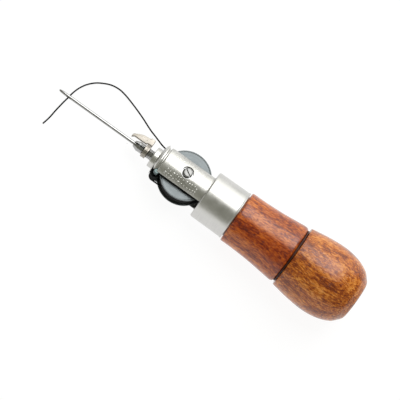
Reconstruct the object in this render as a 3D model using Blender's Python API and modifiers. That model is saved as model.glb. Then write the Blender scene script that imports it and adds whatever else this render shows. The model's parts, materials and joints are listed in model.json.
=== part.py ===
"""Lock-stitch sewing awl: a turned wooden handle, a cast aluminium housing with a thread bobbin,
a wing-nut chuck and an eyed needle, lying on a table with its waxed thread threaded.

Every piece is drawn in the tool's own frame, in millimetres: x runs along the axis from the butt
towards the needle, z along the bobbin's axis and y across the bobbin slot. One empty then lays the
tool on the table, where the handle's bulge and the front edge of the ferrule touch the surface.
The free thread is drawn in world coordinates, because it lies on the table.
"""
import math

import bmesh
import bpy
from mathutils import Vector

MM = 0.001
CLEAR = 0.3                 # gap between touching pieces
MERGE = 0.000001            # merge distance of the turned pieces, in metres
LARGE, MEDIUM, SMALL = 40, 32, 24   # segments round the handle, the ferrule's insides and the small parts

# Stations along the axis
CAP_FRONT = 37.9
WASHER_BACK, WASHER_FRONT = 38.2, 38.8
GRIP_BACK = 39.1
GRIP_SHOULDER = 71.8        # where the wood meets the ferrule
FERRULE_BACK = 72.1
TENON_FRONT = 83.0
FERRULE_FRONT = 90.8
SLOT_BACK, SLOT_FRONT = 90.3, 118.2
CHEEK_FRONT = 116.4
NOSE_FRONT = 119.8
BOSS_FRONT = 122.5
NUT_BACK, NUT_FRONT = 125.2, 137.3
NEEDLE_BACK, NEEDLE_TIP = 119.9, 179.0
EYE_X = 173.1

# Radii and thicknesses
FERRULE_R, FERRULE_BORE = 13.1, 11.7
PLUG_R = FERRULE_BORE - CLEAR
CHEEK_R = 9.9
FLANGE_R = 9.5
BOSS_R = 5.5
SLOT_HALF = 6.6             # half the height of the bobbin slot
PAD_R, PAD_Z = 3.6, 4.8     # raised pads that centre the bobbin
SEAT_R, SEAT_Z = 3.5, 7.8   # spot face under the bobbin screw's washer
STUD_R, STUD_BORE = 2.6, 1.3
NEEDLE_R = 0.9
STORE_R = 6.5               # storage bore in the handle
INSERT_R = 8.3
RING_R, RING_FRONT = 10.2, 49.5

# Bobbin, centred a little off the axis because it hangs loose on its screw
BOBBIN_X, BOBBIN_Y = 103.6, -0.3
BOBBIN_R, BOBBIN_HALF = 13.0, 4.5
BOBBIN_PLATE = 0.7
WINDING_R = 12.0
SCREW_R = 1.6

# Thread
THREAD_R = 0.375
POST_X, POST_Y, POST_R = 116.45, 7.1, 1.5
EXIT_Y = -7.2
WRAPS = 3

# Free thread: from the hole in the nose down on to the table, round in an arc, up through the
# needle's eye and down to its end, in world millimetres
FREE_ROUTE = [(30.2, -7.2, 10.25), (32.7, -7.7, 9.9), (37.6, -9.6, 8.7), (42.1, -11.6, 7.0),
              (47.7, -14.7, 4.7), (52.5, -17.1, 2.8), (58.5, -19.6, 1.0), (62.3, -20.7, 0.5),
              (66.1, -21.1, 0.4), (70.2, -20.4, 0.4), (73.9, -18.6, 0.4), (77.5, -15.9, 0.6),
              (80.5, -11.9, 1.5), (82.4, -7.2, 3.5), (83.4, -2.7, 5.2), (83.7, 0.0, 5.47), (84.1, 2.7, 5.1),
              (84.5, 5.6, 3.9), (84.9, 9.2, 2.1), (85.2, 13.2, 0.7), (86.0, 17.8, 0.4)]
EYE_SPLIT_Y = -3.0          # the needle carries the thread from here on


def spline(points, steps):
    """Catmull-Rom curve through the points, with the given number of steps a span."""
    ends = [Vector(p) for p in points]
    ends = [2 * ends[0] - ends[1]] + ends + [2 * ends[-1] - ends[-2]]
    curve = []
    for a, b, c, d in zip(ends, ends[1:], ends[2:], ends[3:]):
        for k in range(steps):
            t = k / steps
            curve.append(0.5 * (2 * b + (c - a) * t + (2 * a - 5 * b + 4 * c - d) * t * t
                                + (3 * b - a - 3 * c + d) * t ** 3))
    return [tuple(p) for p in curve + [ends[-2]]]


def soften(corners, steps=3):
    """Outline through (x, r) corners, curved where a corner states a third value, its size."""
    outline = []
    for i, corner in enumerate(corners):
        here = Vector(corner[:2])
        if len(corner) == 2:
            outline.append(tuple(here))
            continue
        back = (Vector(corners[i - 1][:2]) - here).normalized() * corner[2]
        ahead = (Vector(corners[(i + 1) % len(corners)][:2]) - here).normalized() * corner[2]
        for k in range(steps + 1):
            t = k / steps
            outline.append(tuple(here + back * (1 - t) ** 2 + ahead * t ** 2))
    return outline


def cap_outside():
    """Outside of the handle's rounded cap, front to back."""
    swell = spline([(36.6, 16.9), (28.0, 18.2), (18.5, 18.8), (10.5, 17.7), (4.5, 15.2), (1.2, 12.0)], 4)
    return [(CAP_FRONT, 16.0)] + swell + [(0.0, 9.8)]


def grip_outside():
    """Outside of the waisted grip, front to back."""
    return [(GRIP_SHOULDER, 13.5)] + spline(
        [(71.2, 14.05), (64.0, 14.1), (54.0, 14.6), (46.0, 15.4), (41.0, 15.9), (39.5, 15.7)], 3) + [(GRIP_BACK, 15.0)]


def resting_pose():
    """Tilt of the axis and place of the tool's origin when it lies on the table."""
    edge_x, edge_r = FERRULE_FRONT, FERRULE_R - 0.5
    slope = max((r - edge_r) / (edge_x - x) for x, r in cap_outside())
    tilt = math.atan(slope)
    facet = math.cos(math.pi / LARGE)
    low = [x * math.sin(tilt) + r * facet * math.cos(tilt)
           for x, r in cap_outside() + grip_outside() + ferrule_outside()]
    butt_r = cap_outside()[-1][1] * facet
    back = -butt_r * math.sin(tilt)
    front = NEEDLE_TIP * math.cos(tilt)
    return tilt, Vector((-(back + front) / 2, 0, max(low))) * MM


def ferrule_outside():
    return soften([(FERRULE_FRONT, 10.4), (FERRULE_FRONT, FERRULE_R - 0.15, 1.2),
                   (FERRULE_BACK + 0.9, FERRULE_R), (FERRULE_BACK + 0.5, FERRULE_R + 0.3),
                   (FERRULE_BACK, FERRULE_R + 0.1)])


def material(name, colour, roughness, metallic=0.0):
    found = bpy.data.materials.get(name)
    if found:
        return found
    made = bpy.data.materials.new(name)
    made.use_nodes = True
    shader = made.node_tree.nodes["Principled BSDF"]
    shader.inputs["Base Color"].default_value = (*colour, 1.0)
    shader.inputs["Roughness"].default_value = roughness
    shader.inputs["Metallic"].default_value = metallic
    return made


def aluminium():
    return material("cast_aluminium", (0.78, 0.78, 0.76), 0.32, 1.0)


def nickel():
    return material("nickel_plate", (0.80, 0.78, 0.74), 0.18, 1.0)


def steel():
    return material("steel", (0.62, 0.62, 0.63), 0.28, 1.0)


def brass():
    return material("brass", (0.72, 0.55, 0.25), 0.35, 1.0)


def grip_wood():
    return material("red_wood", (0.32, 0.11, 0.04), 0.4)


def cap_wood():
    return material("amber_wood", (0.46, 0.19, 0.06), 0.35)


def waxed_thread():
    return material("black_thread", (0.012, 0.012, 0.013), 0.55)


def fibre():
    return material("dark_fibre", (0.05, 0.03, 0.02), 0.8)


def place(name, mesh, look, home, at=(0, 0, 0), along_x=False, parts=True):
    """Object on the tool's frame, its own z axis laid along the tool where along_x is set."""
    obj = bpy.data.objects.new(name, mesh)
    collection = bpy.data.collections["sewing_awl" if parts else "cutters"]
    collection.objects.link(obj)
    obj.parent = home
    obj.location = Vector(at) * MM
    if along_x:
        obj.rotation_euler = (0, math.pi / 2, 0)
    if parts:
        mesh.materials.append(look)
    else:
        obj.hide_render = True
        obj.display_type = "WIRE"
    return obj


def turned(name, outline, look, home, steps, at=(0, 0, 0), along_x=True, parts=True, start=None):
    """Turned piece. The (height, radius) outline runs down its outer side, front to back.

    Without a start angle a flat facet, and not an edge, faces the table.
    """
    if start is None:
        start = math.pi / steps
    mesh = bpy.data.meshes.new(name)
    ring = [(r * math.cos(start) * MM, r * math.sin(start) * MM, h * MM) for h, r in outline]
    edges = [(i, i + 1) for i in range(len(ring) - 1)]
    if outline[0][1] > 0:
        edges.append((len(ring) - 1, 0))
    mesh.from_pydata(ring, edges, [])
    obj = place(name, mesh, look, home, at, along_x, parts)
    screw = obj.modifiers.new("Turn", "SCREW")
    screw.axis = "Z"
    screw.angle = 2 * math.pi
    screw.steps = screw.render_steps = steps
    screw.use_merge_vertices = True
    screw.merge_threshold = MERGE
    screw.use_smooth_shade = True
    return obj


def box_cutter(name, low, high, home):
    mesh = bpy.data.meshes.new(name)
    shape = bmesh.new()
    bmesh.ops.create_cube(shape, size=1)
    low, high = Vector(low), Vector(high)
    size, middle = high - low, (low + high) / 2
    for vert in shape.verts:
        vert.co = Vector(c * s + m for c, s, m in zip(vert.co, size, middle)) * MM
    shape.to_mesh(mesh)
    shape.free()
    return place(name, mesh, None, home, parts=False)


def rod_cutter(name, radius, low, high, home, at=(0, 0, 0), along_x=False, steps=SMALL, start=0.0):
    """Round cutter. A start angle keeps its facets off those of the piece it shares an axis with."""
    outline = [(high, 0), (high, radius), (low, radius), (low, 0)]
    return turned(name, outline, None, home, steps, at, along_x, parts=False, start=start)


def plate_cutter(name, outline, half, home, at=(0, 0, 0)):
    """Flat outline in x and y, half the thickness to each side of its plane."""
    curve = bpy.data.curves.new(name, "CURVE")
    curve.dimensions = "2D"
    curve.fill_mode = "BOTH"
    curve.extrude = half * MM
    line = curve.splines.new("POLY")
    line.points.add(len(outline) - 1)
    line.use_cyclic_u = True
    for point, co in zip(line.points, outline):
        point.co = (co[0] * MM, co[1] * MM, 0, 1)
    flat = bpy.data.objects.new(name + "_outline", curve)
    bpy.context.scene.collection.objects.link(flat)
    seen = flat.evaluated_get(bpy.context.evaluated_depsgraph_get())
    mesh = bpy.data.meshes.new_from_object(seen)
    bpy.data.objects.remove(flat)
    shape = bmesh.new()
    shape.from_mesh(mesh)
    bmesh.ops.remove_doubles(shape, verts=shape.verts, dist=MERGE)
    shape.to_mesh(mesh)
    shape.free()
    return place(name, mesh, None, home, at, parts=False)


def boolean(obj, cutter, operation="DIFFERENCE"):
    step = obj.modifiers.new(cutter.name, "BOOLEAN")
    step.operation = operation
    step.solver = "EXACT"
    step.object = cutter


def tube(name, points, radius, look, home=None):
    """Round thread through the points, in millimetres, closed at both ends."""
    curve = bpy.data.curves.new(name, "CURVE")
    curve.dimensions = "3D"
    curve.bevel_depth = radius * MM
    curve.bevel_resolution = 2
    curve.use_fill_caps = True
    line = curve.splines.new("POLY")
    line.points.add(len(points) - 1)
    for point, co in zip(line.points, points):
        point.co = (*(Vector(co) * MM), 1)
    curve.materials.append(look)
    obj = bpy.data.objects.new(name, curve)
    bpy.data.collections["sewing_awl"].objects.link(obj)
    obj.parent = home
    return obj


def add_handle(home):
    """Cap, grip, the threaded insert and ring that join them, and the washer between them."""
    cap = cap_outside() + [(0, 0)]
    insert_back = 27.0
    cap = [(8.0, 0), (8.0, STORE_R), (insert_back, STORE_R), (insert_back, INSERT_R + CLEAR),
           (CAP_FRONT, INSERT_R + CLEAR)] + cap
    turned("handle_cap", cap, cap_wood(), home, LARGE)
    turned("cap_thread_insert", soften([(49.0, STORE_R), (49.0, INSERT_R, 0.6),
                                        (insert_back + CLEAR, INSERT_R), (insert_back + CLEAR, STORE_R)]),
           brass(), home, MEDIUM)
    turned("cap_washer", [(WASHER_FRONT, INSERT_R + CLEAR), (WASHER_FRONT, 14.6), (WASHER_BACK, 14.6),
                          (WASHER_BACK, INSERT_R + CLEAR)], fibre(), home, MEDIUM)
    turned("grip_thread_ring", [(RING_FRONT, INSERT_R + CLEAR), (RING_FRONT, RING_R),
                                (GRIP_BACK + 0.5, RING_R), (GRIP_BACK + 0.5, INSERT_R + CLEAR)],
           brass(), home, MEDIUM)
    store_front, screw_hole = 69.0, 2.1
    bore = [(GRIP_BACK, RING_R + CLEAR), (RING_FRONT + CLEAR, RING_R + CLEAR), (RING_FRONT + CLEAR, STORE_R),
            (store_front, STORE_R), (store_front, screw_hole), (TENON_FRONT, screw_hole)]
    turned("handle_grip", [(TENON_FRONT, PLUG_R), (GRIP_SHOULDER, PLUG_R)] + grip_outside() + bore,
           grip_wood(), home, LARGE)
    head = turned("tang_screw", soften([(88.0, 0), (88.0, 1.5, 0.4), (store_front - CLEAR, 1.5),
                                        (store_front - CLEAR, 4.0, 0.5), (store_front - 2.4, 4.0, 0.5),
                                        (store_front - 2.4, 0)]), steel(), home, SMALL)
    boolean(head, box_cutter("tang_screw_slot", (65.0, -0.5, -5), (store_front - 1.4, 0.5, 5), home))


def add_ferrule(home):
    lip = 1.4
    turned("ferrule", ferrule_outside() + [(FERRULE_BACK, FERRULE_BORE),
                                           (FERRULE_FRONT - lip, FERRULE_BORE), (FERRULE_FRONT - lip, 10.4)],
           aluminium(), home, LARGE)


def add_housing(home):
    """Cast housing: boss and domed flange, two cheeks round the bobbin slot, and the rear plug."""
    plug_back = TENON_FRONT + CLEAR
    plug_front = FERRULE_FRONT - 1.4 - CLEAR
    outline = soften([(BOSS_FRONT, 0), (BOSS_FRONT, BOSS_R, 0.5), (NOSE_FRONT, BOSS_R), (NOSE_FRONT - 0.1, 6.8),
                      (118.6, FLANGE_R, 0.9), (117.3, FLANGE_R, 0.3), (117.1, 8.9), (116.7, 8.9),
                      (CHEEK_FRONT, CHEEK_R, 0.5), (plug_front, CHEEK_R), (plug_front, PLUG_R),
                      (plug_back, PLUG_R), (plug_back, 0)])
    housing = turned("housing", outline, aluminium(), home, LARGE)
    boolean(housing, box_cutter("bobbin_slot", (SLOT_BACK, -15, -SLOT_HALF), (SLOT_FRONT, 15, SLOT_HALF), home))
    notch = SLOT_HALF - 0.4
    boolean(housing, box_cutter("post_notch", (SLOT_FRONT - 1, 3.2, -notch), (NOSE_FRONT - 0.5, 15, notch), home))
    for side, sign in (("front", 1), ("back", -1)):
        ends = sorted((sign * PAD_Z, sign * (SLOT_HALF + 0.5)))
        pad = rod_cutter(f"{side}_pad", PAD_R, *ends, home, (BOBBIN_X, BOBBIN_Y, 0))
        boolean(housing, pad, "UNION")
    boolean(housing, rod_cutter("screw_seat", SEAT_R, SEAT_Z, 12, home, (BOBBIN_X, BOBBIN_Y, 0), start=0.07))
    boolean(housing, rod_cutter("screw_bore", SCREW_R + CLEAR, -12, 12, home, (BOBBIN_X, BOBBIN_Y, 0), start=0.11))
    boolean(housing, rod_cutter("stud_socket", STUD_R + CLEAR, 118.9, 130, home, along_x=True, start=0.04))
    boolean(housing, rod_cutter("thread_hole", THREAD_R + 0.4, 116, 130, home, (0, EXIT_Y, 0), along_x=True,
                                steps=16, start=0.05))
    boolean(housing, rod_cutter("tang_bore", 1.8, 70, 88.4, home, along_x=True, start=0.04))


def add_bobbin(home):
    """Spool with two plates, wound full, on a slotted screw with its washer."""
    at = (BOBBIN_X, BOBBIN_Y, 0)
    inner, plate_hole = BOBBIN_HALF - BOBBIN_PLATE, 2.9
    bore, spool = SCREW_R + CLEAR, inner - CLEAR
    turned("bobbin_hub", [(BOBBIN_HALF, bore), (BOBBIN_HALF, plate_hole - CLEAR), (spool, plate_hole - CLEAR),
                          (spool, 4.0), (-spool, 4.0), (-spool, plate_hole - CLEAR),
                          (-BOBBIN_HALF, plate_hole - CLEAR), (-BOBBIN_HALF, bore)],
           nickel(), home, SMALL, at, along_x=False)
    rim = 0.3
    plate = soften([(BOBBIN_HALF - 0.15, plate_hole), (BOBBIN_HALF - 0.15, BOBBIN_R - 1.5),
                    (BOBBIN_HALF + rim - 0.15, BOBBIN_R - 1.1), (BOBBIN_HALF + rim - 0.15, BOBBIN_R, 0.4),
                    (inner, BOBBIN_R), (inner, plate_hole)])
    turned("bobbin_plate_front", plate, nickel(), home, LARGE, at, along_x=False)
    turned("bobbin_plate_back", [(-h, r) for h, r in reversed(plate)], nickel(), home, LARGE, at, along_x=False)
    turned("thread_winding", [(spool, 4.3), (spool, WINDING_R - 0.3), (0, WINDING_R), (-spool, WINDING_R - 0.3),
                              (-spool, 4.3)], waxed_thread(), home, LARGE, at, along_x=False)
    low, thick = SEAT_Z + CLEAR, 0.4
    turned("bobbin_screw_washer", [(low + thick, SCREW_R + CLEAR), (low + thick, 3.1), (low, 3.1),
                                   (low, SCREW_R + CLEAR)], steel(), home, SMALL, at, along_x=False)
    under = low + thick + CLEAR
    top = under + 1.1
    screw = turned("bobbin_screw", soften([(top, 0), (top - 0.1, 2.6, 0.5), (under, 2.6), (under, SCREW_R),
                                           (-9.4, SCREW_R, 0.3), (-9.4, 0)]),
                   steel(), home, SMALL, at, along_x=False)
    slot = box_cutter("bobbin_screw_slot", (-5, -0.4, top - 0.6), (5, 0.4, top + 1), home)
    slot.location = Vector(at) * MM
    slot.rotation_euler = (0, 0, math.radians(-33))
    boolean(screw, slot)


def add_chuck(home):
    """Split stud, wing nut with its collar, and the eyed needle."""
    stud_front, jaw_r, jaw_slot = 133.6, 1.6, 0.4
    stud = turned("chuck_stud", [(stud_front, STUD_BORE), (stud_front, jaw_r), (131.0, STUD_R), (119.2, STUD_R),
                                 (119.2, 0), (NEEDLE_BACK - CLEAR, 0), (NEEDLE_BACK - CLEAR, STUD_BORE)],
                  steel(), home, SMALL)
    boolean(stud, box_cutter("jaw_slot", (127.5, -jaw_slot, -4), (stud_front + 1, jaw_slot, 4), home))

    hub_back, hub_bore, mouth = 128.2, STUD_R + CLEAR, NEEDLE_R + 0.35
    nut = turned("wing_nut", soften([(NUT_FRONT, mouth), (NUT_FRONT, 1.9, 0.3), (134.6, 3.2, 0.8), (131.2, 3.75, 0.4),
                                     (130.7, 3.3), (hub_back, 3.3), (hub_back, hub_bore), (131.5, hub_bore),
                                     (134.6, 1.7), (135.2, mouth)]),
                 nickel(), home, SMALL)
    wing = soften([(136.9, 1.6), (136.9, 3.9, 0.8), (132.7, 6.2, 1.5), (128.1, 6.8), (127.7, 7.4, 0.3),
                   (NUT_BACK, 7.4, 0.5)])
    wings = wing + [(x, -y) for x, y in reversed(wing)]
    boolean(nut, plate_cutter("wings", wings, 0.75, home), "UNION")
    boolean(nut, rod_cutter("collar_room", 3.5 + CLEAR, NUT_BACK - 1, hub_back, home, along_x=True))
    boolean(nut, rod_cutter("nut_bore", hub_bore, hub_back - 1, 131.5, home, along_x=True))
    boolean(nut, turned("nut_cone", [(135.2, 0), (135.2, mouth), (134.6, 1.7), (131.5, hub_bore), (131.4, 0)],
                        None, home, SMALL, parts=False))
    boolean(nut, rod_cutter("nut_mouth", mouth, 134.9, 138.0, home, along_x=True))
    turned("nut_collar", [(hub_back - CLEAR, hub_bore), (hub_back - CLEAR, 3.5), (NUT_BACK, 3.5),
                          (NUT_BACK, hub_bore)], nickel(), home, SMALL)

    needle = turned("needle", needle_outline(NEEDLE_BACK, NEEDLE_TIP), steel(), home, 16)
    boolean(needle, eye_cutter("needle_eye", EYE_X, home))
    for i, y in enumerate((-2.0, 2.0)):
        back = 9.4
        at = (0, y, -4.7)
        spare = turned(f"spare_needle_{i + 1}", needle_outline(back, back + 56.4), steel(), home, 10, at)
        boolean(spare, eye_cutter(f"spare_eye_{i + 1}", back + 51.6, home, at))


def needle_outline(back, tip):
    return [(tip, 0), (tip - 0.4, 0.45), (tip - 1.6, 0.72), (tip - 5.0, 0.85), (tip - 13.0, NEEDLE_R),
            (back, NEEDLE_R), (back, 0)]


def eye_cutter(name, x, home, at=(0, 0, 0)):
    """Long round-ended eye through a needle, across its width."""
    half_length, half_height = 0.75, 0.55
    ends = [(x + side * half_length + half_height * math.sin(a), half_height * math.cos(a))
            for side, a in [(1, math.radians(d)) for d in range(0, 181, 45)]
            + [(-1, math.radians(d)) for d in range(180, 361, 45)]]
    eye = plate_cutter(name, ends, 2.0, home, at)
    eye.rotation_euler = (math.pi / 2, 0, 0)
    return eye


def add_post(home):
    end, edge = SLOT_HALF - CLEAR, 0.25
    turned("tension_post", [(end, 0), (end, POST_R - edge), (end - edge, POST_R), (edge - end, POST_R),
                            (-end, POST_R - edge), (-end, 0)],
           steel(), home, SMALL, (POST_X, POST_Y, 0), along_x=False)


def thread_feed_points():
    """Thread inside the housing: off the winding, round the post, and across to the hole in the nose."""
    off = Vector((POST_X - BOBBIN_X, POST_Y - BOBBIN_Y))
    leave_r, wrap_r = WINDING_R + THREAD_R + 0.1, POST_R + THREAD_R + CLEAR
    start = math.atan2(off.y, off.x) + math.acos((leave_r - wrap_r) / off.length)
    low = -2.3
    tangent = Vector((BOBBIN_X + leave_r * math.cos(start), BOBBIN_Y + leave_r * math.sin(start)))
    touch = Vector((POST_X + wrap_r * math.cos(start), POST_Y + wrap_r * math.sin(start)))
    straight = [tangent.lerp(touch, k / 5) for k in range(5)]
    points = [(p.x, p.y, low) for p in straight]
    sweep = start + math.radians(30) + 2 * math.pi * (WRAPS - 1)
    turns, rise = 14 * WRAPS, 1.0
    for k in range(turns + 1):
        angle = start - sweep * k / turns
        points.append((POST_X + wrap_r * math.cos(angle), POST_Y + wrap_r * math.sin(angle),
                       low + rise * (WRAPS - 1) * 1.15 * k / turns))
    crossing = [points[-1], (117.5, 4.2, 0.1), (117.3, 1.2, 0.1), (117.25, -2.2, 0.0), (117.3, -4.6, 0.0),
                (117.6, -6.3, 0.0), (118.2, -7.05, 0.0), (119.0, EXIT_Y, 0.0)]
    return points[:-1] + spline(crossing, 4)


def even(points, spacing):
    """The same run with a point at each even step along it."""
    run, left = [Vector(points[0])], spacing
    here = Vector(points[0])
    for point in points[1:]:
        point = Vector(point)
        while (point - here).length >= left:
            here = here + (point - here).normalized() * left
            run.append(here)
            left = spacing
        left -= (point - here).length
        here = point
    return run


def add_thread(home):
    tube("thread_feed", thread_feed_points(), THREAD_R, waxed_thread(), home)
    run = even(spline(FREE_ROUTE, 12), 1.75) + [Vector(FREE_ROUTE[-1])]
    split = next(i for i, p in enumerate(run) if p.y > EYE_SPLIT_Y)
    back = (run[split - 1] - run[split]).normalized() * CLEAR
    tube("thread_loop", run[:split] + [run[split] + back], THREAD_R, waxed_thread())
    tube("thread_tail", run[split:], THREAD_R, waxed_thread())


def main():
    for obj in list(bpy.data.objects):
        bpy.data.objects.remove(obj)
    for name in ("sewing_awl", "cutters"):
        bpy.context.scene.collection.children.link(bpy.data.collections.new(name))
    tilt, origin = resting_pose()
    home = bpy.data.objects.new("tool_axis", None)
    bpy.context.scene.collection.objects.link(home)
    home.location = origin
    home.rotation_euler = (0, tilt, 0)
    add_handle(home)
    add_ferrule(home)
    add_housing(home)
    add_bobbin(home)
    add_chuck(home)
    add_post(home)
    add_thread(home)


main()
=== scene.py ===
import json
import math
import random

import bmesh
import bpy
from mathutils import Matrix, Vector, noise


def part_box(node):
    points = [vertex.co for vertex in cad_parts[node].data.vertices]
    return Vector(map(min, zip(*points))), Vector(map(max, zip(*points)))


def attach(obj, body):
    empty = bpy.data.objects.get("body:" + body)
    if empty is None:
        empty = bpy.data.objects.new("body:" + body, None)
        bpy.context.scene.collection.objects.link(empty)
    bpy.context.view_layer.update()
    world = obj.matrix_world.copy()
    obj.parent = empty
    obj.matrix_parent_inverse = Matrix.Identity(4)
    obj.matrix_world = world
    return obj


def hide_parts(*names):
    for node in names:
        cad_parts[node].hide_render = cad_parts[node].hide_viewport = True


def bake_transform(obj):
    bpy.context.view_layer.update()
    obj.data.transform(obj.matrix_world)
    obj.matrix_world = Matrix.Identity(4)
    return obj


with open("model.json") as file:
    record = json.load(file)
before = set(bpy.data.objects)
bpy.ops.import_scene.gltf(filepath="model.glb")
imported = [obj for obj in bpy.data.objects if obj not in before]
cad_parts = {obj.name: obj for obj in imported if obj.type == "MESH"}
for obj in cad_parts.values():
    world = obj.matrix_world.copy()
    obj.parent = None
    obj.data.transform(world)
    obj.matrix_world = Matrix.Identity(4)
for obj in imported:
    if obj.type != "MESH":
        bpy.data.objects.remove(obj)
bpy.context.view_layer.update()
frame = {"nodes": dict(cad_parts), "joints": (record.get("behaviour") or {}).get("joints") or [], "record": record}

# Looks of a lock-stitch sewing awl. Pieces are drawn in millimetres in the tool's own frame: x from the
# butt towards the needle, z along the bobbin's axis and y across both. Camera, lights and the free
# thread's route are in metres in the world.

MM = 0.001
JOINTS = {joint["name"]: joint for joint in frame["joints"]}
FORWARD = Vector(JOINTS["needle_slide"]["axis"]).normalized()
UP = Vector(JOINTS["bobbin_spin"]["axis"]).normalized()
SIDE = UP.cross(FORWARD)
BUTT = next(Vector(m["pos_m"]) for m in frame["record"]["mounts"] if m["name"] == "butt_face")
TOOL = Matrix.Translation(BUTT) @ Matrix((FORWARD, SIDE, UP)).transposed().to_4x4()


def in_tool(point):
    return TOOL.inverted() @ Vector(point) / MM


def reach(node, centre=Vector(), axis=0):
    """Lowest and highest place of a CAD node along a tool axis, and its largest radius about it."""
    spots = [in_tool(v.co) - centre for v in frame["nodes"][node].data.vertices]
    along = [p[axis] for p in spots]
    return min(along), max(along), max(math.hypot(p[axis - 1], p[axis - 2]) for p in spots)


CAP_FRONT = reach("handle_cap")[1]
GRIP_BACK = reach("handle_grip")[0]
NUT_BACK, NUT_FRONT, _ = reach("wing_nut")
NEEDLE_BACK, NEEDLE_TIP, NEEDLE_R = reach("needle")
BOBBIN = in_tool(JOINTS["bobbin_spin"]["pos_m"])
PLATE_R = reach("bobbin_plate_front", BOBBIN, 2)[2]
WINDING_R = reach("thread_winding", BOBBIN, 2)[2]
_, HEAD_TOP, HEAD_R = reach("bobbin_screw", BOBBIN, 2)
POST = (in_tool(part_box("tension_post")[0]) + in_tool(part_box("tension_post")[1])) / 2
UPRIGHT = Matrix.Rotation(-math.pi / 2, 4, "Y")
SPOOL = TOOL @ Matrix.Translation(BOBBIN * MM) @ UPRIGHT

CHEEK_R, SLOT_HALF = 9.9, 6.6
STORE_R, TUBE_R = 6.5, 8.3
PLUG_R = 11.4
SPINDLE_R, SPOOL_HALF = 1.9, 3.5
STUD_R = 2.6
POST_R = 1.5
NOSE_HOLE_Y = 7.2
THREAD_R = 0.375
TURNED_SIDES = 192
# Free thread, in metres: out of the nose, down on to the table, round, up through the eye and down
FREE_ROUTE = [(0.0302, -0.0072, 0.01025), (0.0327, -0.0077, 0.00990), (0.0376, -0.0096, 0.00870),
              (0.0421, -0.0116, 0.00700), (0.0477, -0.0147, 0.00470), (0.0525, -0.0171, 0.00280),
              (0.0585, -0.0196, 0.00100), (0.0623, -0.0207, 0.00050), (0.0661, -0.0211, 0.00040),
              (0.0702, -0.0204, 0.00040), (0.0739, -0.0186, 0.00040), (0.0775, -0.0159, 0.00060),
              (0.0805, -0.0119, 0.00150), (0.0824, -0.0072, 0.00350), (0.0834, -0.0027, 0.00520),
              (0.0837, 0.0000, 0.00547), (0.0841, 0.0027, 0.00510), (0.0845, 0.0056, 0.00390),
              (0.0849, 0.0092, 0.00210), (0.0852, 0.0132, 0.00070), (0.0860, 0.0178, 0.00040)]


# ---------------------------------------------------------------- curves and outlines

def spline(points, steps):
    """Catmull-Rom curve through the points, with the given number of steps a span."""
    ends = [Vector(p) for p in points]
    ends = [2 * ends[0] - ends[1]] + ends + [2 * ends[-1] - ends[-2]]
    curve = []
    for a, b, c, d in zip(ends, ends[1:], ends[2:], ends[3:]):
        for k in range(steps):
            t = k / steps
            curve.append(0.5 * (2 * b + (c - a) * t + (2 * a - 5 * b + 4 * c - d) * t * t
                                + (3 * b - a - 3 * c + d) * t ** 3))
    return curve + [ends[-2]]


def soften(corners, steps=6):
    """Outline through (x, r) corners, curved where a corner states a third value, its size."""
    outline = []
    for i, corner in enumerate(corners):
        here = Vector(corner[:2])
        if len(corner) == 2:
            outline.append(tuple(here))
            continue
        back = (Vector(corners[i - 1][:2]) - here).normalized() * corner[2]
        ahead = (Vector(corners[(i + 1) % len(corners)][:2]) - here).normalized() * corner[2]
        for k in range(steps + 1):
            t = k / steps
            outline.append(tuple(here + back * (1 - t) ** 2 + ahead * t ** 2))
    return outline


# ---------------------------------------------------------------- meshes

def add_object(name, shape, place=TOOL, sharp=35):
    """Object from a bmesh in millimetres, set in the given frame and shaded smooth."""
    bmesh.ops.recalc_face_normals(shape, faces=shape.faces)
    bmesh.ops.scale(shape, vec=(MM, MM, MM), verts=shape.verts)
    bmesh.ops.transform(shape, matrix=place, verts=shape.verts)
    mesh = bpy.data.meshes.new(name)
    shape.to_mesh(mesh)
    shape.free()
    mesh.shade_smooth()
    mesh.set_sharp_from_angle(angle=math.radians(sharp))
    obj = bpy.data.objects.new(name, mesh)
    bpy.context.scene.collection.objects.link(obj)
    return obj


def sweep(shape, rings, closed_ends=True, loop=False):
    """Skin between rings of points, each a list of coordinates with the same count."""
    rows = [[shape.verts.new(p) for p in ring] for ring in rings]
    count = len(rows[0])
    pairs = list(zip(rows, rows[1:])) + ([(rows[-1], rows[0])] if loop else [])
    for row, after in pairs:
        for i in range(count):
            j = (i + 1) % count
            shape.faces.new((row[i], row[j], after[j], after[i]))
    if closed_ends and not loop:
        shape.faces.new(rows[0])
        shape.faces.new(reversed(rows[-1]))


def lathe(name, outline, place=TOOL, segments=160, sharp=35, ripple=None):
    """Turned piece from an (x, r) outline. ripple(x, angle) may add to the radius."""
    shape = bmesh.new()
    solid = outline[0][1] < 1e-6
    inner = outline[1:-1] if solid else outline
    rings = []
    for x, r in inner:
        ring = []
        for k in range(segments):
            angle = 2 * math.pi * k / segments
            radius = r + (ripple(x, angle, r) if ripple else 0)
            ring.append((x, radius * math.cos(angle), radius * math.sin(angle)))
        rings.append(ring)
    sweep(shape, rings, closed_ends=False, loop=not solid)
    if solid:
        shape.verts.ensure_lookup_table()
        for (x, _), row in ((outline[0], range(segments)),
                            (outline[-1], range(len(inner) * segments - segments, len(inner) * segments))):
            pole = shape.verts.new((x, 0, 0))
            shape.verts.ensure_lookup_table()
            row = list(row)
            for k, first in enumerate(row):
                shape.faces.new((shape.verts[first], shape.verts[row[(k + 1) % segments]], pole))
    return add_object(name, shape, place, sharp)


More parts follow.
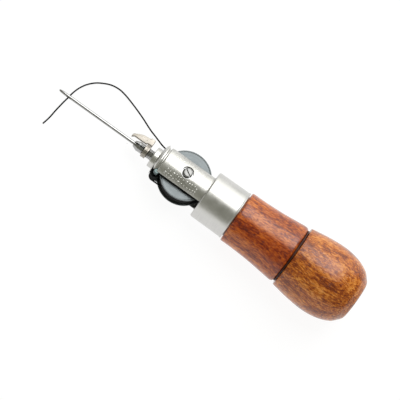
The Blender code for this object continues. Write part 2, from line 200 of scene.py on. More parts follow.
def slab(name, outline, low, high, place=TOOL, edge=0.15):
    """Flat plate of an (x, y) outline from one height to another, its edges rounded."""
    shape = bmesh.new()
    face = shape.faces.new([shape.verts.new((x, y, low)) for x, y in outline])
    raised = bmesh.ops.extrude_face_region(shape, geom=[face])
    moved = [g for g in raised["geom"] if isinstance(g, bmesh.types.BMVert)]
    bmesh.ops.translate(shape, vec=(0, 0, high - low), verts=moved)
    rims = [e for e in shape.edges if abs(e.verts[0].co.z - e.verts[1].co.z) < 1e-6]
    bmesh.ops.bevel(shape, geom=rims, offset=edge, segments=3, profile=0.5, affect="EDGES")
    return add_object(name, shape, place)


def cut(obj, cutter, operation="DIFFERENCE"):
    """Boolean of two meshes, applied, after which the cutter is removed."""
    step = obj.modifiers.new("cut", "BOOLEAN")
    step.operation, step.solver, step.object = operation, "EXACT", cutter
    bpy.context.view_layer.update()
    seen = obj.evaluated_get(bpy.context.evaluated_depsgraph_get())
    mesh = bpy.data.meshes.new_from_object(seen)
    obj.modifiers.clear()
    obj.data = mesh
    mesh.shade_smooth()
    mesh.set_sharp_from_angle(angle=math.radians(35))
    bpy.data.objects.remove(cutter)
    return obj


def block(low, high, place=TOOL):
    """Box cutter between two corners."""
    shape = bmesh.new()
    low, high = Vector(low), Vector(high)
    bmesh.ops.create_cube(shape, size=1, matrix=Matrix.Diagonal((*(high - low), 1)))
    return add_object("cutter", shape, place @ Matrix.Translation((low + high) / 2 * MM))


def rod(radius, low, high, place=TOOL, segments=64):
    """Round cutter along x."""
    return lathe("cutter", [(high, 0), (high, radius), (low, radius), (low, 0)], place, segments)


def frames_along(path):
    """Points of a path with a side and an up vector at each, which don't twist."""
    path = [Vector(p) for p in path]
    side = None
    for i, here in enumerate(path):
        ahead = (path[min(i + 1, len(path) - 1)] - path[max(i - 1, 0)]).normalized()
        if side is None:
            side = ahead.orthogonal().normalized()
        side = (side - ahead * side.dot(ahead)).normalized()
        yield here, side, ahead.cross(side)


def even(points, spacing):
    """The same run with a point at each even step along it."""
    run, left = [Vector(points[0])], spacing
    here = Vector(points[0])
    for point in points[1:]:
        point = Vector(point)
        while (point - here).length >= left:
            here = here + (point - here).normalized() * left
            run.append(here)
            left = spacing
        left -= (point - here).length
        here = point
    return run


def twisted_thread(name, path, radius=THREAD_R, lay=2.0, place=TOOL, spacing=0.16, sides=18):
    """Three-ply thread: a tube whose round plies wind about its centre line."""
    shape = bmesh.new()
    rings = []
    run = even(path, spacing)
    for i, (here, side, up) in enumerate(frames_along(run)):
        wind = 2 * math.pi * i * spacing / lay
        ring = []
        for k in range(sides):
            angle = 2 * math.pi * k / sides
            ply = abs(math.cos(1.5 * (angle - wind)))
            fuzz = 0.02 * noise.noise(Vector((i * 0.9, k * 1.7, radius * 40)))
            size = radius * (0.99 + 0.08 * ply + fuzz)
            ring.append(here + (side * math.cos(angle) + up * math.sin(angle)) * size)
        rings.append(ring)
    sweep(shape, rings)
    return add_object(name, shape, place, sharp=70)


# ---------------------------------------------------------------- materials

class Look:
    """A material being made: a Principled shader, and short calls that add nodes to it."""

    def __init__(self, name, place=TOOL, **values):
        self.material = bpy.data.materials.new(name)
        self.material.use_nodes = True
        self.tree = self.material.node_tree
        self.surface = self.tree.nodes["Principled BSDF"]
        for socket, value in values.items():
            self.surface.inputs[socket.replace("_", " ")].default_value = value
        home = place.inverted()
        self.spot = self.add("Mapping", Vector=self.add("TexCoord", 3), Scale=(1 / MM, 1 / MM, 1 / MM),
                             Rotation=home.to_euler(), Location=home.translation / MM)

    def add(self, kind, out=0, setup=None, **inputs):
        """New node. Inputs are named, or _0, _1 by place; the result is one of its outputs."""
        node = self.tree.nodes.new("ShaderNode" + kind)
        for key, value in (setup or {}).items():
            setattr(node, key, value)
        for key, value in inputs.items():
            socket = node.inputs[int(key[1:])] if key[0] == "_" else node.inputs[key.replace("_", " ")]
            self.put(socket, value)
        return node.outputs[out]

    def put(self, socket, value):
        if isinstance(value, bpy.types.NodeSocket):
            self.tree.links.new(value, socket)
        else:
            socket.default_value = value

    def shade(self, **links):
        for name, value in links.items():
            self.put(self.surface.inputs[name.replace("_", " ")], value)

    def stretched(self, scale, shift=(0, 0, 0)):
        return self.add("Mapping", Vector=self.spot, Scale=scale, Location=shift)

    def noise(self, scale, detail=4.0, rough=0.55, at=None, warp=0.0):
        return self.add("TexNoise", Vector=at or self.spot, Scale=scale, Detail=detail, Roughness=rough,
                        Distortion=warp)

    def ramp(self, value, stops):
        """Colours or greys at places from 0 to 1."""
        output = self.add("ValToRGB", Fac=value)
        band = output.node.color_ramp
        while len(band.elements) < len(stops):
            band.elements.new(0.5)
        for element, (place, colour) in zip(band.elements, stops):
            element.position = place
            element.color = (colour, colour, colour, 1) if isinstance(colour, float) else (*colour, 1)
        return output

    def span(self, value, low, high, to_low=0.0, to_high=1.0):
        return self.add("MapRange", _0=value, _1=low, _2=high, _3=to_low, _4=to_high)

    def calc(self, a, b, operation="ADD"):
        return self.add("Math", setup={"operation": operation}, _0=a, _1=b)

    def blend(self, amount, a, b, kind="MIX"):
        return self.add("Mix", 2, {"data_type": "RGBA", "blend_type": kind}, _0=amount, _6=a, _7=b)

    def bump(self, height, size, strength=1.0):
        """Normal from a height of 0 to 1 that stands for a size in millimetres."""
        return self.add("Bump", Height=height, Distance=size * MM, Strength=strength)


def srgb(*colour):
    """Linear colour from one in 0 to 255."""
    values = [c / 255 for c in colour]
    return tuple(v / 12.92 if v <= 0.04045 else ((v + 0.055) / 1.055) ** 2.4 for v in values)


def across(degrees):
    """Direction in y and z, turned from the bobbin's axis towards +y."""
    return math.sin(math.radians(degrees)), math.cos(math.radians(degrees))


def wood(name, tones, pith, spacing, pore_tone, shade_band):
    """Varnished turned wood with its grain along x.

    tones run from early to late wood, and pith is where the rings centre in y and z. The last
    argument is painted shade: a darker band on the side that faces the camera, given as its (y, z)
    direction, its middle, its half width and the tone it is multiplied by.
    """
    look = Look(name, Roughness=0.55, Specular_IOR_Level=0.0,
                Coat_Weight=1.0, Coat_Roughness=0.18, Coat_IOR=1.54)
    swirl = look.add("VectorMath", setup={"operation": "MULTIPLY_ADD"}, _0=look.add("TexNoise", 1,
                     Vector=look.stretched((0.35, 1, 1)), Scale=0.07, Detail=2.0), _1=(0, 5, 5), _2=look.spot)
    centred = look.add("Mapping", Vector=swirl, Location=(0, -pith[0], -pith[1]), Scale=(0.12, 1, 1))
    rings = look.add("TexWave", 1, {"wave_type": "RINGS", "rings_direction": "X", "wave_profile": "SAW"},
                     Vector=centred, Scale=math.pi / 10 / spacing,
                     Distortion=1.4, Detail=3.0, Detail_Scale=0.6)
    cloud = look.noise(0.17, 4, 0.6, at=look.stretched((0.45, 1, 1), shift=(3, 7, 1)), warp=0.6)
    figure = look.noise(1.5, 4, 0.66, at=look.add("Mapping", Vector=swirl, Scale=(0.26, 1, 1)), warp=0.4)
    speck = look.noise(2.6, 3, 0.6, at=look.stretched((0.35, 1, 1), shift=(0, 3, 9)))
    tone = look.calc(look.span(rings, 0, 1, 0.0, 0.16), look.span(cloud, 0.3, 0.7, -0.14, 0.44))
    tone = look.calc(tone, look.span(figure, 0.36, 0.64, -0.02, 0.62))
    tone = look.calc(tone, look.span(speck, 0.34, 0.66, 0.02, 0.32))
    colour = look.ramp(tone, list(zip((0.28, 0.56, 0.8, 0.99), tones)))
    # Painted shade: the colour is multiplied by a darker band along the side that faces the camera.
    direction, middle, half, dim = shade_band
    toward = look.add("VectorMath", 1, {"operation": "DOT_PRODUCT"}, _0=look.spot, _1=(0, *direction))
    drift = look.noise(0.07, 3, at=look.stretched((0.5, 1, 1)))
    toward = look.calc(toward, look.span(drift, 0.3, 0.7, -half * 0.6, half * 0.6))
    off = look.calc(look.calc(toward, middle, "SUBTRACT"), 0.0, "ABSOLUTE")
    inside = look.add("MapRange", setup={"interpolation_type": "SMOOTHSTEP"}, _0=off, _1=half * 1.5,
                      _2=half * 0.3, _3=0.0, _4=1.0)
    colour = look.blend(inside, colour, (*dim, 1), "MULTIPLY")
    pores = look.ramp(look.noise(1.9, 3, 0.6, at=look.stretched((0.2, 1, 1), shift=(5, 0, 2))),
                      [(0.58, 0.0), (0.68, 1.0)])
    colour = look.blend(look.calc(pores, 0.5, "MULTIPLY"), colour, (*pore_tone, 1))
    look.shade(Base_Color=colour, Roughness=look.span(figure, 0.3, 0.7, 0.42, 0.58))
    grain = look.calc(look.calc(figure, pores, "SUBTRACT"), speck)
    look.shade(Normal=look.bump(grain, 0.06, 0.6), Coat_Normal=look.bump(grain, 0.06, 0.8))
    return look.material


def cast_metal(name, tint, rough, streak=(1, 1, 1), depth=0.012, grain=2.4):
    """Satin metal: fine grain or turning lines, faint smudges and rubbed brighter patches."""
    look = Look(name, Metallic=1.0, Roughness=rough)
    fine = look.noise(grain, 5, 0.7, at=look.stretched(streak))
    cloud = look.noise(0.16, 4, 0.6)
    dim = tuple(c * 0.88 for c in tint)
    colour = look.ramp(look.calc(look.calc(fine, 0.5, "MULTIPLY"), look.calc(cloud, 0.5, "MULTIPLY")),
                       [(0.36, dim), (0.6, tint)])
    look.shade(Base_Color=colour, Normal=look.bump(fine, depth))
    look.shade(Roughness=look.calc(look.span(cloud, 0.3, 0.7, rough * 0.8, rough * 1.2),
                                  look.span(fine, 0.3, 0.7, -0.03, 0.03)))
    return look.material


def plate_metal(name, tint, rough):
    """Thin stamped disc: rings of fine turning round x, its axis, with a few dull stains."""
    look = Look(name, SPOOL, Metallic=1.0, Roughness=rough)
    apart = look.add("SeparateXYZ", Vector=look.spot)
    out = look.add("VectorMath", 1, {"operation": "LENGTH"}, _0=look.stretched((0, 1, 1)))
    lines = look.noise(6.0, 3, at=look.add("CombineXYZ", X=out, Y=look.calc(apart, 0.02, "MULTIPLY")))
    stain = look.noise(0.3, 4, 0.6)
    colour = look.ramp(look.calc(look.calc(lines, 0.4, "MULTIPLY"), look.calc(stain, 0.6, "MULTIPLY")),
                       [(0.38, tuple(c * 0.8 for c in tint)), (0.6, tint)])
    look.shade(Base_Color=colour, Roughness=look.span(stain, 0.3, 0.7, rough * 0.85, rough * 1.2))
    look.shade(Normal=look.bump(lines, 0.01))
    return look.material


def waxed(name, tint):
    """Black waxed thread: plies that lean across the strand, with a dull bloom of wax."""
    look = Look(name, Roughness=0.5, Specular_IOR_Level=0.14)
    bloom = look.noise(0.8, 4)
    fuzz = look.noise(14, 3, 0.7)
    tone = look.calc(look.calc(bloom, 0.6, "MULTIPLY"), look.calc(fuzz, 0.4, "MULTIPLY"))
    look.shade(Base_Color=look.ramp(tone, [(0.4, tint), (0.7, tuple(c * 1.8 + 0.003 for c in tint))]))
    look.shade(Normal=look.bump(fuzz, 0.03, 0.6), Roughness=look.span(bloom, 0.3, 0.7, 0.38, 0.62))
    return look.material


def leather(name):
    look = Look(name, Roughness=0.6)
    crease = look.add("TexVoronoi", setup={"feature": "DISTANCE_TO_EDGE"}, Vector=look.spot, Scale=1.6)
    cloud = look.noise(0.5, 4)
    look.shade(Base_Color=look.ramp(cloud, [(0.35, srgb(46, 16, 10)), (0.65, srgb(86, 34, 22))]))
    look.shade(Normal=look.bump(look.ramp(crease, [(0.0, 0.0), (0.2, 1.0)]), 0.06, 0.6))
    look.shade(Roughness=look.span(cloud, 0.3, 0.7, 0.5, 0.72))
    return look.material


# The last tuple of each wood places its painted shade band on the side that faces the camera.
CAP_WOOD = wood("varnished_cap_wood",
                [srgb(228, 152, 70), srgb(198, 112, 30), srgb(164, 78, 12), srgb(112, 46, 6)],
                (4, -42), 2.6, srgb(96, 44, 10), (across(14), 20.5, 2.6, (0.9, 0.78, 0.6)))
GRIP_WOOD = wood("varnished_grip_wood",
                 [srgb(216, 126, 46), srgb(190, 98, 20), srgb(160, 66, 6), srgb(108, 36, 2)],
                 (-30, -26), 2.2, srgb(74, 24, 4), (across(34), 16.0, 2.8, (0.86, 0.62, 0.35)))
ALUMINIUM = cast_metal("satin_cast_aluminium", (0.64, 0.635, 0.61), 0.36)
TURNED = cast_metal("turned_aluminium", (0.65, 0.645, 0.625), 0.35, (1, 0.05, 0.05), 0.01)
NICKEL = cast_metal("satin_nickel_plate", (0.4, 0.37, 0.33), 0.42, depth=0.008)
PLATE = plate_metal("dull_bobbin_plate", (0.147, 0.162, 0.168), 0.38)
STEEL = cast_metal("bright_steel", (0.42, 0.42, 0.42), 0.2, (0.1, 1, 1), 0.006, grain=4)
# Darker copy of the bright steel for the bobbin screw: painted shade that dims the screw head.
SHADE_DIMMED_STEEL = cast_metal("shade_dimmed_steel", (0.26, 0.26, 0.255), 0.36)
# Dark teal steel for the guide post: painted shade, standing in for the shade in the slot where the post sits.
SHADE_TINTED_STEEL = cast_metal("shade_tinted_steel", (0.1, 0.13, 0.13), 0.34)
BRASS = cast_metal("turned_brass", (0.62, 0.42, 0.16), 0.28, (1, 0.1, 0.1), 0.01)
THREAD = waxed("waxed_black_thread", (0.004, 0.0045, 0.0045))
LEATHER = leather("dark_red_leather")
SLOT_LOOKS = {"cast_aluminium": ALUMINIUM, "nickel_plate": NICKEL, "steel": STEEL, "brass": BRASS,
              "red_wood": GRIP_WOOD, "amber_wood": CAP_WOOD, "black_thread": THREAD, "dark_leather": LEATHER}


def finish_piece(obj, slot, body, nodes, look=None):
    """Material of a piece, chosen by its record slot unless a look is given, its body, and the CAD nodes it stands
    for, which are hidden.
    """
    obj.data.materials.clear()
    obj.data.materials.append(look or SLOT_LOOKS[slot])
    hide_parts(*nodes)
    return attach(obj, body)


# ---------------------------------------------------------------- handle

def ridges(low, high, pitch, depth, outer):
    """Ripple of a screw thread between two stations, on the surface at a given radius."""
    def ripple(x, angle, r):
        if not low <= x <= high or abs(r - outer) > 1e-6:
            return 0.0
        turn = (x / pitch + angle / (2 * math.pi)) % 1.0
        ends = min(1.0, (x - low) / pitch, (high - x) / pitch)
        return -depth * ends * abs(2 * turn - 1)
    return ripple


def stations(low, high, radius, step):
    """Outline points at even steps, so that a ripple has something to move."""
    count = max(1, round(abs(high - low) / step))
    return [(low + (high - low) * k / count, radius) for k in range(count + 1)]


def add_cap():
    """Amber bulb, hollow for the spare needles, with the threaded tube fixed in its mouth."""
    swell = spline([(36.6, 16.9), (28.0, 18.2), (18.5, 18.8), (10.5, 17.7), (4.5, 15.2), (1.2, 12.0)], 14)
    mouth = [(8.0, 0), (8.0, STORE_R), (27.0, STORE_R), (27.0, TUBE_R + 0.3), (CAP_FRONT, TUBE_R + 0.3)]
    edge = [(CAP_FRONT, 16.0), (CAP_FRONT - 0.05, 16.35), (CAP_FRONT - 0.25, 16.7)]
    butt = [(0.65, 11.3), (0.25, 10.6), (0.05, 10.1), (0.0, 9.7), (0.0, 6.0), (0.06, 2.0), (0.06, 0)]
    cap = lathe("wood_cap", mouth + edge + [(p.x, p.y) for p in swell] + butt, segments=TURNED_SIDES)
    finish_piece(cap, "amber_wood", "handle_cap", ["handle_cap"])


def add_grip():
    """Red grip, waisted towards the ferrule, with a spigot in front and the needle store behind."""
    waist = spline([(71.2, 14.05), (64.0, 14.1), (54.0, 14.6), (46.0, 15.4), (41.0, 15.9), (39.8, 15.75)], 14)
    front = [(83.0, 2.1), (83.0, PLUG_R), (71.65, PLUG_R), (71.65, 13.45), (71.57, 13.75), (71.35, 13.95)]
    back = [(GRIP_BACK + 0.35, 15.6), (GRIP_BACK + 0.1, 15.35), (GRIP_BACK, 15.0), (GRIP_BACK, 10.5)]
    inside = [(49.8, 10.5), (49.8, STORE_R), (69.0, STORE_R), (69.0, 2.1)]
    grip = lathe("wood_grip", front + [(p.x, p.y) for p in waist] + back + inside, segments=TURNED_SIDES)
    finish_piece(grip, "red_wood", "handle", ["handle_grip"])


def add_handle_fittings():
    """Washer, the cap's threaded tube and its ring, the screw that holds the housing, and the ferrule."""
    washer = lathe("leather_washer", soften([(38.85, 8.6), (38.85, 14.9, 0.2), (38.15, 14.9, 0.2),
                                             (38.15, 8.6)]), segments=96)
    finish_piece(washer, "dark_leather", "cap_washer", ["cap_washer"])

    tube_end = [(49.0, STORE_R), (49.0, TUBE_R - 0.7), (48.5, TUBE_R)]
    tube_outline = tube_end + stations(48.4, 27.3, TUBE_R, 0.25) + [(27.3, STORE_R)]
    tube = lathe("threaded_tube", tube_outline, segments=96, ripple=ridges(38.0, 48.4, 2.0, 0.45, TUBE_R))
    finish_piece(tube, "brass", "handle_cap", ["cap_thread_insert"])

    ring = lathe("threaded_ring", soften([(49.5, 8.6, 0.2), (49.5, 10.2, 0.2), (39.0, 10.2, 0.3),
                                          (39.0, 8.6, 0.3)]), segments=96)
    finish_piece(ring, "brass", "handle", ["grip_thread_ring"])

    screw = lathe("tang_wood_screw", soften([(88.0, 0), (88.0, 1.5, 0.4), (68.7, 1.5), (68.7, 4.0, 0.6),
                                             (66.6, 3.6, 0.6), (66.6, 0)]), segments=48)
    cut(screw, block((65.0, -0.5, -5), (67.6, 0.5, 5)))
    finish_piece(screw, "steel", "handle", ["tang_screw"])

    collar = soften([(90.8, 10.4), (90.8, 12.95, 1.1), (73.1, 13.08, 0.2), (72.8, 13.4, 0.25),
                     (72.25, 13.35, 0.3), (72.25, 11.7), (89.4, 11.7), (89.4, 10.4)])
    ferrule = lathe("metal_ferrule", collar, segments=TURNED_SIDES)
    finish_piece(ferrule, "cast_aluminium", "handle", ["ferrule"], TURNED)


# ---------------------------------------------------------------- housing

def raised_mark(x, angle, length, width, radius, rise):
    """Rounded bump on the cheek, along x at an angle from the bobbin's axis."""
    shape = bmesh.new()
    bmesh.ops.create_uvsphere(shape, u_segments=16, v_segments=10, radius=1.0)
    for vert in shape.verts:
        for axis in range(3):
            vert.co[axis] = math.copysign(abs(vert.co[axis]) ** 0.7, vert.co[axis])
    bmesh.ops.scale(shape, vec=(length / 2, width / 2, rise), verts=shape.verts)
    bmesh.ops.translate(shape, vec=(x, 0, radius - 0.02), verts=shape.verts)
    bmesh.ops.rotate(shape, cent=(0, 0, 0), matrix=Matrix.Rotation(-angle, 3, "X"), verts=shape.verts)
    return shape


def mark_rows():
    """Generic border of dots and short bars cast along both edges of each cheek."""
    draw = random.Random(7)
    joined = bmesh.new()
    for side in (0, 180):
        for row, width, rise in ((25, 1.7, 0.4), (37.5, 1.7, 0.4), (-27, 1.0, 0.12)):
            x = 95.0
            while x < 113.5:
                length = draw.choice((0.8, 1.0, 1.4))
                across_it = width * draw.choice((0.5, 0.8, 1.0))
                turn = math.radians(side + row + draw.uniform(-1.5, 1.5))
                shape = raised_mark(x + length / 2, turn, length, across_it, CHEEK_R, rise)
                mesh = bpy.data.meshes.new("mark")
                shape.to_mesh(mesh)
                shape.free()
                joined.from_mesh(mesh)
                bpy.data.meshes.remove(mesh)
                x += length + draw.choice((0.35, 0.5, 0.9))
    return add_object("cast_marks", joined)


def add_housing():
    """Boss, domed flange, cheeks and plug, cut for the bobbin, screw, stud and thread."""
    slot_back, slot_front, front, flange = 90.3, 118.2, 122.5, 9.5
    dome = [(front, 0), (front, 5.5, 0.5), (119.8, 5.5, 0.2), (119.7, 6.8, 0.3), (119.1, 8.6, 0.6),
            (118.4, flange, 0.35), (117.5, flange, 0.35)]
    cheeks = [(117.1, 8.9), (116.7, 8.9), (116.4, CHEEK_R, 0.5), (89.1, CHEEK_R)]
    plug = [(89.1, PLUG_R), (83.3, PLUG_R), (83.3, 0)]
    body = lathe("cast_housing", soften(dome + cheeks + plug), segments=TURNED_SIDES)
    cut(body, block((slot_back, -15, -SLOT_HALF), (slot_front, 15, SLOT_HALF)))
    cut(body, block((slot_front - 1, 3.2, 0.4 - SLOT_HALF), (119.3, 15, SLOT_HALF - 0.4)))
    for sign in (1, -1):
        low, high = sorted((sign * 4.8, sign * (SLOT_HALF + 0.5)))
        cut(body, rod(3.6, low, high, SPOOL), "UNION")
    cut(body, rod(3.25, 7.8, 12, SPOOL, 60))
    cut(body, rod(SPINDLE_R, -12, 12, SPOOL, 44))
    cut(body, rod(2.9, 118.9, 130, TOOL, 52))
    cut(body, rod(0.775, 116, 130, TOOL @ Matrix.Translation((0, -NOSE_HOLE_Y * MM, 0)), 28))
    cut(body, rod(1.8, 70, 88.4, TOOL, 36))
    soft = body.modifiers.new("soft_edges", "BEVEL")
    soft.width, soft.segments, soft.limit_method, soft.angle_limit = 0.22 * MM, 3, "ANGLE", math.radians(40)
    soft.harden_normals = True
    finish_piece(body, "cast_aluminium", "handle", ["housing"])
    finish_piece(mark_rows(), "cast_aluminium", "handle", ["housing"])


# ---------------------------------------------------------------- bobbin and its screw

def wound_turns(x, angle, radius):
    """Ripple of the strands that lie side by side on the bobbin."""
    if radius < WINDING_R - 0.5:
        return 0.0
    pitch = 2 * THREAD_R
    layer = 0.12 * noise.noise(Vector((x * 0.45, math.cos(angle) * 2, math.sin(angle) * 2)))
    from_middle = ((x / pitch + angle / (2 * math.pi)) % 1.0 - 0.5) * pitch
    return math.sqrt(max(THREAD_R ** 2 - from_middle ** 2, 0.0)) - THREAD_R + min(layer, 0.0) - 0.02


def add_bobbin():
    hole, rim = 2.9, PLATE_R
    face = soften([(4.4, hole), (4.47, rim - 0.8, 0.3), (4.6, rim - 0.45, 0.2), (4.58, rim - 0.05, 0.2),
                   (4.2, rim, 0.2), (3.8, rim - 0.05, 0.2), (3.8, hole)], 5)
    for end, sign in (("front", 1), ("back", -1)):
        outline = [(sign * x, radius) for x, radius in face]
        disc = lathe(f"bobbin_face_{end}", outline, SPOOL, TURNED_SIDES, sharp=50)
        finish_piece(disc, "nickel_plate", "bobbin", [f"bobbin_plate_{end}"], PLATE)

    core = soften([(4.5, SPINDLE_R), (4.5, 2.6, 0.15), (SPOOL_HALF, 2.6), (SPOOL_HALF, 4.0),
                   (-SPOOL_HALF, 4.0), (-SPOOL_HALF, 2.6), (-4.5, 2.6, 0.15), (-4.5, SPINDLE_R)])
    finish_piece(lathe("bobbin_core", core, SPOOL, 64), "nickel_plate", "bobbin", ["bobbin_hub"], PLATE)

    outline = ([(-SPOOL_HALF, 4.3)] + stations(-SPOOL_HALF, SPOOL_HALF, WINDING_R, 0.09)
               + [(SPOOL_HALF, 4.3)])
    wound = lathe("wound_thread", outline, SPOOL, 160, sharp=80, ripple=wound_turns)
    finish_piece(wound, "black_thread", "bobbin", ["thread_winding"])


def add_bobbin_screw():
    ring = soften([(8.5, SPINDLE_R), (8.5, 3.1, 0.12), (8.1, 3.1, 0.12), (8.1, SPINDLE_R)])
    finish_piece(lathe("screw_disc", ring, SPOOL, 64), "steel", "screw_washer", ["bobbin_screw_washer"])

    shank_r = 1.6
    head = [(HEAD_TOP, 0), (HEAD_TOP, 1.2), (HEAD_TOP - 0.04, 1.8), (HEAD_TOP - 0.15, 2.25),
            (HEAD_TOP - 0.35, 2.5), (HEAD_TOP - 0.6, HEAD_R), (8.9, HEAD_R), (8.8, 2.5), (8.8, shank_r)]
    shank = stations(8.7, -9.3, shank_r, 0.175) + [(-9.4, 1.3), (-9.4, 0)]
    screw = lathe("slotted_screw", head + shank, SPOOL, 64, ripple=ridges(-9.2, 4.0, 0.7, 0.2, shank_r))
    over_head = Matrix.Translation(Vector((BOBBIN.x, BOBBIN.y, 0)) * MM)
    turn = Matrix.Rotation(math.radians(-33), 4, "Z")
    cut(screw, block((-5, -0.45, 9.0), (5, 0.45, 12), TOOL @ over_head @ turn))
    soft = screw.modifiers.new("soft_edges", "BEVEL")
    soft.width, soft.segments, soft.limit_method, soft.angle_limit = 0.06 * MM, 2, "ANGLE", math.radians(50)
    # The screw head takes the darker copy of the steel: painted shade.
    finish_piece(screw, "steel", "bobbin_screw", ["bobbin_screw"], SHADE_DIMMED_STEEL)


# ---------------------------------------------------------------- chuck and needle

def add_chuck():
    """Split stud, the nut with its two wings, and the collar behind the nut."""
    stud_tip = [(133.6, 1.3), (133.6, 1.6), (131.0, STUD_R)]
    stud_outline = stud_tip + stations(130.9, 119.3, STUD_R, 0.1) + [(119.2, STUD_R), (119.2, 1.3)]
    stud = lathe("split_stud", stud_outline, segments=64, ripple=ridges(121.0, 130.9, 0.8, 0.22, STUD_R))
    cut(stud, block((127.5, -0.4, -4), (134.6, 0.4, 4)))
    finish_piece(stud, "steel", "handle", ["chuck_stud"])

    bullet = soften([(NUT_FRONT, 1.25), (NUT_FRONT, 1.9, 0.3), (134.6, 3.2, 0.8), (131.2, 3.75, 0.4),
                     (130.7, 3.35, 0.15), (128.2, 3.35), (128.2, 2.9), (131.5, 2.9), (134.6, 1.7),
                     (135.2, 1.25)])
    nut = lathe("winged_nut", bullet, segments=96)
    wing = soften([(136.9, 2.2), (136.9, 3.9, 0.8), (132.7, 6.2, 1.5), (128.1, 6.8, 0.6), (127.7, 7.4, 0.4),
                   (NUT_BACK, 7.4, 0.6), (NUT_BACK, 3.85), (128.3, 3.85), (128.3, 3.1), (135.5, 3.05),
                   (136.5, 2.2)])
    for side in (1, -1):
        cut(nut, slab("wing", [(x, side * y) for x, y in wing], -0.75, 0.75, edge=0.3), "UNION")
    finish_piece(nut, "nickel_plate", "wing_nut", ["wing_nut"])

    collar = lathe("chuck_collar", soften([(127.9, 2.9), (127.9, 3.5, 0.15), (126.9, 3.5, 0.1), (126.7, 3.3),
                                           (126.4, 3.3), (126.2, 3.5, 0.1), (NUT_BACK, 3.5, 0.2),
                                           (NUT_BACK, 2.9)]), segments=80)
    finish_piece(collar, "nickel_plate", "nut_collar", ["nut_collar"])


def needle(name, back, tip, segments, at=(0, 0, 0)):
    """Round needle with a slender point, a long eye across it and a groove that leads to the eye."""
    full_r = NEEDLE_R - 0.02
    point = spline([(tip - 0.08, 0.25), (tip - 0.4, 0.45), (tip - 1.6, 0.72), (tip - 5.0, 0.85),
                    (tip - 13.0, full_r), (tip - 20, full_r)], 6)
    outline = ([(tip, 0)] + [(p.x, p.y) for p in point]
               + [(back + 0.3, full_r), (back, NEEDLE_R - 0.2), (back, 0)])
    place = TOOL @ Matrix.Translation(Vector(at) * MM)
    made = lathe(name, outline, place, segments)

    middle, half, height = tip - 5.9, 0.75, 0.55
    turns = [(1, math.radians(d)) for d in range(0, 181, 15)]
    turns += [(-1, math.radians(d)) for d in range(180, 361, 15)]
    eye = [(middle + side * half + height * math.sin(a), height * math.cos(a)) for side, a in turns]
    cut(made, slab("eye", eye, -2.0, 2.0, place @ Matrix.Rotation(math.pi / 2, 4, "X"), edge=0.01))

    groove_place = place @ Matrix.Translation((0, -NEEDLE_R * 1.12 * MM, 0))
    groove = [(middle, 0), (middle - 1, 0.33), (middle - 28, 0.33), (middle - 31, 0)]
    cut(made, lathe("groove", groove, groove_place, 20))
    return made


def add_needles():
    finish_piece(needle("awl_needle", NEEDLE_BACK, NEEDLE_TIP, 64), "steel", "needle", ["needle"])
    for i, y in enumerate((-2.0, 2.0)):
        spare = needle(f"stored_needle_{i + 1}", 9.4, 65.8, 24, (0, y, -4.7))
        finish_piece(spare, "steel", "handle", [f"spare_needle_{i + 1}"])


# ---------------------------------------------------------------- thread

def add_post():
    end = 6.3
    at = TOOL @ Matrix.Translation(Vector((POST.x, POST.y, 0)) * MM) @ UPRIGHT
    post = lathe("guide_post", soften([(end, 0), (end, POST_R, 0.3), (-end, POST_R, 0.3), (-end, 0)]), at, 48)
    # The post takes the dark teal steel: painted shade for the slot it stands in.
    finish_piece(post, "steel", "handle", ["tension_post"], SHADE_TINTED_STEEL)


def lead_path():
    """Thread inside the housing: off the winding, round the post, and across to the hole in the nose."""
    off = Vector((POST.x - BOBBIN.x, POST.y - BOBBIN.y))
    leave_r, wrap_r, wraps, low, rise = 9.6, POST_R + THREAD_R + 0.3, 6, -2.9, 1.0
    start = math.atan2(off.y, off.x) + math.acos((leave_r - wrap_r) / off.length)
    tangent = Vector((BOBBIN.x + leave_r * math.cos(start), BOBBIN.y + leave_r * math.sin(start)))
    touch = Vector((POST.x + wrap_r * math.cos(start), POST.y + wrap_r * math.sin(start)))
    points = [(*tangent.lerp(touch, k / 8), low) for k in range(3, 8)]
    sweep_angle, turns = start + math.radians(30) + 2 * math.pi * (wraps - 1), 36 * wraps
    for k in range(turns + 1):
        angle = start - sweep_angle * k / turns
        points.append((POST.x + wrap_r * math.cos(angle), POST.y + wrap_r * math.sin(angle),
                       low + rise * (wraps - 1) * 1.15 * k / turns))
    crossing = [points[-1], (117.5, 4.2, 0.1), (117.3, 1.2, 0.1), (117.25, -2.2, 0.0), (117.3, -4.6, 0.0),
                (117.6, -6.3, 0.0), (118.2, -7.05, 0.0), (119.0, -NOSE_HOLE_Y, 0.0)]
    return points[:-1] + spline(crossing, 6)


def add_thread():
    lead = twisted_thread("lead_thread", lead_path())
    finish_piece(lead, "black_thread", "handle", ["thread_feed"])
    route = spline(FREE_ROUTE, 10)
    path = even(route, 0.0008) + [route[-1]]
    free = twisted_thread("free_thread", [p / MM for p in route], place=Matrix())
    free.data.materials.append(THREAD)
    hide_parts("thread_loop", "thread_tail")
    length = sum((b - a).length for a, b in zip(path, path[1:]))
    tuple(FREE_ROUTE[0])
    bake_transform(free)


# ---------------------------------------------------------------- camera, light and floor

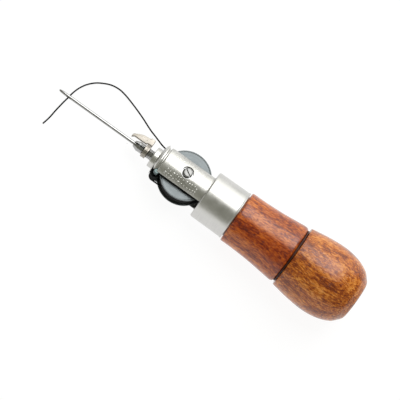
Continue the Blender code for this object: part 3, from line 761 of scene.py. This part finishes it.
def add_camera():
    """The photograph's view: square to the tool, 20 degrees to one side of the bobbin's axis."""
    side_lean, roll, lens, sensor, width = math.radians(20), math.radians(35.6), 180, 36, 0.1972
    toward = math.sin(side_lean) * SIDE + math.cos(side_lean) * UP
    below = math.cos(side_lean) * SIDE - math.sin(side_lean) * UP
    right = -math.cos(roll) * FORWARD - math.sin(roll) * below
    up = math.sin(roll) * FORWARD - math.cos(roll) * below
    target = TOOL @ Vector((0.0910, 0, 0)) + below * 0.0039
    data = bpy.data.cameras.new("view")
    data.lens, data.sensor_width = lens, sensor
    data.clip_start, data.clip_end = 0.01, 10
    camera = bpy.data.objects.new("view", data)
    bpy.context.scene.collection.objects.link(camera)
    turn = Matrix((right, up, toward)).transposed().to_4x4()
    camera.matrix_world = Matrix.Translation(target + toward * lens / sensor * width) @ turn
    bpy.context.scene.camera = camera


def add_light(name, centre, aim, size, radiance):
    """Rectangular soft light, its strength stated as the brightness of its face."""
    data = bpy.data.lights.new(name, "AREA")
    data.shape, data.size, data.size_y = "RECTANGLE", *size
    data.energy = radiance * math.pi * size[0] * size[1]
    light = bpy.data.objects.new(name, data)
    bpy.context.scene.collection.objects.link(light)
    back = (Vector(centre) - Vector(aim)).normalized()
    side = Vector((1, 0, 0))
    turn = Matrix((side, back.cross(side), back)).transposed().to_4x4()
    light.matrix_world = Matrix.Translation(centre) @ turn


def add_studio():
    aim = (0, 0, 0.015)
    add_light("overhead_softbox", (0.0, -0.38, 0.816), aim, (0.62, 0.77), 4.0)
    add_light("low_fill", (0.0, -1.0, 0.45), aim, (1.6, 0.7), 1.3)
    add_light("horizon_card", (0.0, 1.1, 0.11), aim, (1.6, 0.22), 0.9)
    world = bpy.data.worlds.new("grey_surround")
    bpy.context.scene.world = world
    world.use_nodes = True
    world.node_tree.nodes["Background"].inputs["Color"].default_value = (0.27, 0.27, 0.225, 1)

    shape = bmesh.new()
    bmesh.ops.create_grid(shape, x_segments=8, y_segments=8, size=2500)
    floor = add_object("floor", shape, Matrix.Translation((0, 0, -0.00002)))
    look = Look("pale_floor", Base_Color=(0.1, 0.1, 0.1, 1), Roughness=0.9, Specular_IOR_Level=0.1)
    look.shade(Emission_Color=(1, 1, 1, 1), Emission_Strength=0.93)
    floor.data.materials.append(look.material)
    bpy.context.scene.view_settings.view_transform = "Standard"


add_camera()
add_studio()
add_thread()
add_cap()
add_grip()
add_handle_fittings()
add_housing()
add_bobbin()
add_bobbin_screw()
add_chuck()
add_needles()
add_post()
